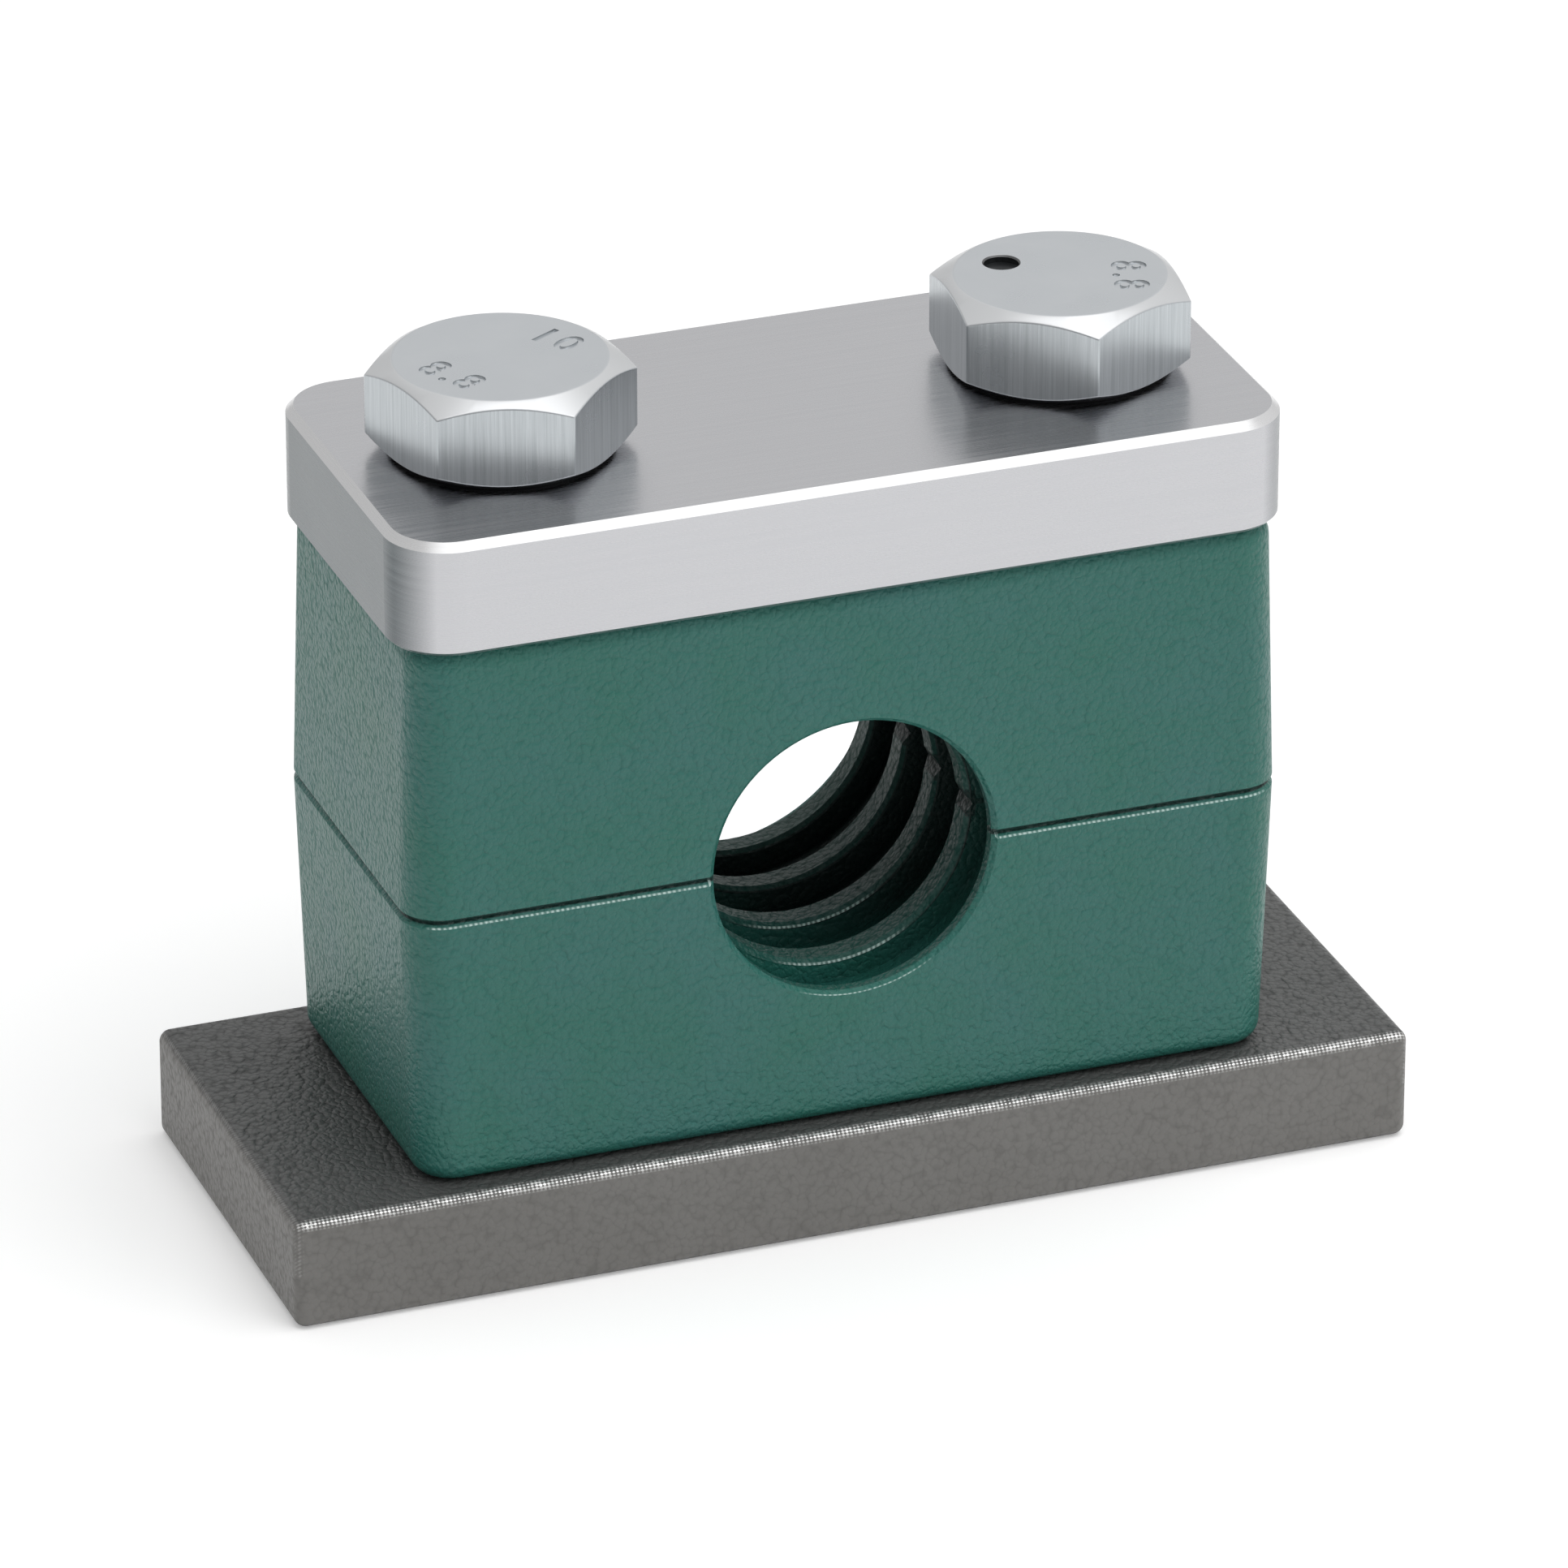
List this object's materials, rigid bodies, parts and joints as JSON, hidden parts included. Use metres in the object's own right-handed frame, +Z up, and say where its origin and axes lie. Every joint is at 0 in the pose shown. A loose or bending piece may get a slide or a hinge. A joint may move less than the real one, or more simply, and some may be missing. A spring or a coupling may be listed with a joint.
{
  "type": "hydraulic tube clamp",
  "caption": "Split tube clamp: ribbed plastic halves between a weld plate and a steel cover plate, pulled together by hexagon head bolts.",
  "frame": {"origin": "centre of the weld plate's underside", "axes": "+Z up from the weld face, +X along the weld plate, the tube's axis along Y, -Y towards the viewer of the picture"},
  "size_m": [0.081, 0.031, 0.062],
  "materials": {
    "plate_steel": "dark phosphated steel",
    "bush_steel": "dark phosphated turned steel",
    "clamp_plastic": "moulded polypropylene with fine grain",
    "cover_steel": "brushed, zinc plated steel",
    "bolt_zinc": "bright zinc plated steel"
  },
  "bodies": {
    "clamp_base": {"weld_plate": "plate_steel", "left_thread_bush": "bush_steel", "right_thread_bush": "bush_steel", "lower_half": "clamp_plastic"},
    "clamp_top": {"upper_half": "clamp_plastic", "cover_plate": "cover_steel"},
    "left_bolt": {"left_bolt": "bolt_zinc"},
    "right_bolt": {"right_bolt": "bolt_zinc"}
  },
  "joints": [
    {"name": "clamp_open", "type": "slide", "parent": "clamp_base", "child": "clamp_top", "axis": [0, 0, 1], "range_m": [0, 0.009]},
    {"name": "left_bolt_turn", "type": "hinge", "parent": "clamp_top", "child": "left_bolt", "pos_m": [-0.02, 0, 0.0637], "axis": [0, 0, 1], "range_deg": [0, 2161]},
    {"name": "right_bolt_turn", "type": "hinge", "parent": "clamp_top", "child": "right_bolt", "pos_m": [0.02, 0, 0.0637], "axis": [0, 0, 1], "range_deg": [0, 2161]}
  ],
  "couplings": [
    {"joint": "left_bolt_turn", "follows": "clamp_open", "rad_per_m": 4188.8},
    {"joint": "right_bolt_turn", "follows": "clamp_open", "rad_per_m": 4188.8}
  ]
}
